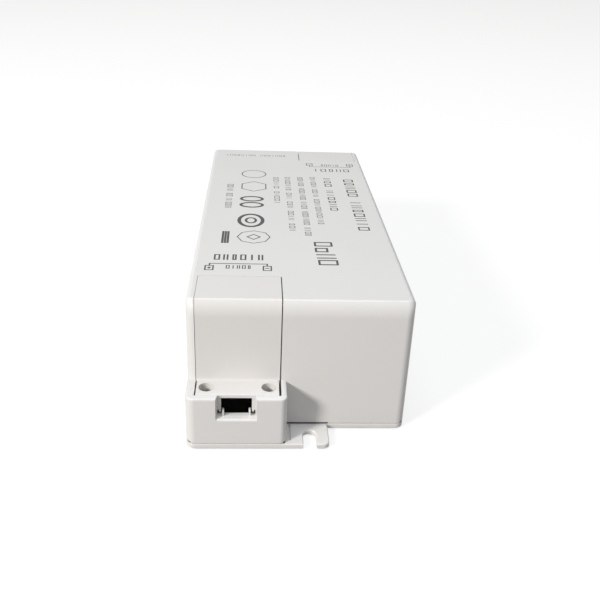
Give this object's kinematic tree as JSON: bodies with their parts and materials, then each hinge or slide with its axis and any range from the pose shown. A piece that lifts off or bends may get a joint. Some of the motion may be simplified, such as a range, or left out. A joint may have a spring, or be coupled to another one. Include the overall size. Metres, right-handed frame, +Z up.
{
  "type": "led driver",
  "caption": "Closed plastic LED driver: long box with a foot, a screwed terminal cover, a cable outlet and a slotted fixing ear at each end.",
  "frame": {"origin": "on the surface that the driver stands on, under the middle of its overall box", "axes": "+Y along the case from the output end to the input end, +X across it so that the output foot is on the -X side, +Z up from the base plate"},
  "size_m": [0.06, 0.16, 0.04],
  "materials": {
    "white_case_plastic": "moulded white plastic, fine satin",
    "white_cover_plastic": "moulded white plastic, fine satin",
    "plated_screw_steel": "plated steel",
    "insulating_film": "thin black insulating film",
    "board_laminate": "green lacquered glass laminate",
    "terminal_plastic": "moulded green plastic",
    "tinned_metal": "tin plated",
    "fuse_glass": "clear glass tube",
    "blue_disc_coating": "dipped coating",
    "green_disc_coating": "dipped coating",
    "yellow_film_box": "moulded box",
    "ferrite": "sintered, dull black",
    "coated_powder_core": "painted powder core",
    "enamelled_copper": "clear enamel over copper",
    "black_epoxy": "moulded epoxy",
    "capacitor_sleeve": "shrunk sleeve over an aluminium can",
    "heatsink_aluminium": "plain extruded",
    "thermal_pad_silicone": "soft pad",
    "bobbin_plastic": "moulded black plastic",
    "winding_tape": "tape over copper wire",
    "resistor_lacquer": "lacquered body"
  },
  "bodies": {
    "root": {"base_plate": "white_case_plastic", "bleed_resistor": "resistor_lacquer", "board_screw_1": "plated_screw_steel", "board_screw_2": "plated_screw_steel", "board_screw_3": "plated_screw_steel", "board_screw_4": "plated_screw_steel", "bridge_rectifier": "black_epoxy", "bulk_capacitor": "capacitor_sleeve", "case": "white_case_plastic", "choke_core": "ferrite", "choke_line_winding": "enamelled_copper", "choke_neutral_winding": "enamelled_copper", "choke_stand": "bobbin_plastic", "circuit_board": "board_laminate", "clamp_diode": "black_epoxy", "clamp_resistor": "resistor_lacquer", "controller_chip": "black_epoxy", "fuse_cap_1": "tinned_metal", "fuse_cap_2": "tinned_metal", "fuse_glass": "fuse_glass", "input_cover_screw_1": "plated_screw_steel", "input_cover_screw_2": "plated_screw_steel", "input_terminal_body": "terminal_plastic", "input_terminal_clamp_1": "tinned_metal", "input_terminal_clamp_2": "tinned_metal", "input_terminal_cover": "white_cover_plastic", "input_terminal_screw_1": "plated_screw_steel", "input_terminal_screw_2": "plated_screw_steel", "inrush_thermistor": "green_disc_coating", "insulating_sheet": "insulating_film", "isolation_capacitor": "blue_disc_coating", "optocoupler": "black_epoxy", "output_capacitor_1": "capacitor_sleeve", "output_capacitor_2": "capacitor_sleeve", "output_cover_screw_1": "plated_screw_steel", "output_cover_screw_2": "plated_screw_steel", "output_inductor_core": "coated_powder_core", "output_inductor_winding": "enamelled_copper", "output_rectifier": "black_epoxy", "output_terminal_body": "terminal_plastic", "output_terminal_clamp_1": "tinned_metal", "output_terminal_clamp_2": "tinned_metal", "output_terminal_cover": "white_cover_plastic", "output_terminal_screw_1": "plated_screw_steel", "output_terminal_screw_2": "plated_screw_steel", "primary_heatsink": "heatsink_aluminium", "rectifier_pad": "thermal_pad_silicone", "rectifier_screw": "plated_screw_steel", "secondary_heatsink": "heatsink_aluminium", "supply_capacitor": "capacitor_sleeve", "surge_varistor": "blue_disc_coating", "switching_transistor": "black_epoxy", "transformer_bobbin": "bobbin_plastic", "transformer_core_lower": "ferrite", "transformer_core_upper": "ferrite", "transformer_winding": "winding_tape", "transistor_pad": "thermal_pad_silicone", "transistor_screw": "plated_screw_steel", "voltage_reference": "black_epoxy", "x_capacitor": "yellow_film_box"}
  },
  "joints": []
}
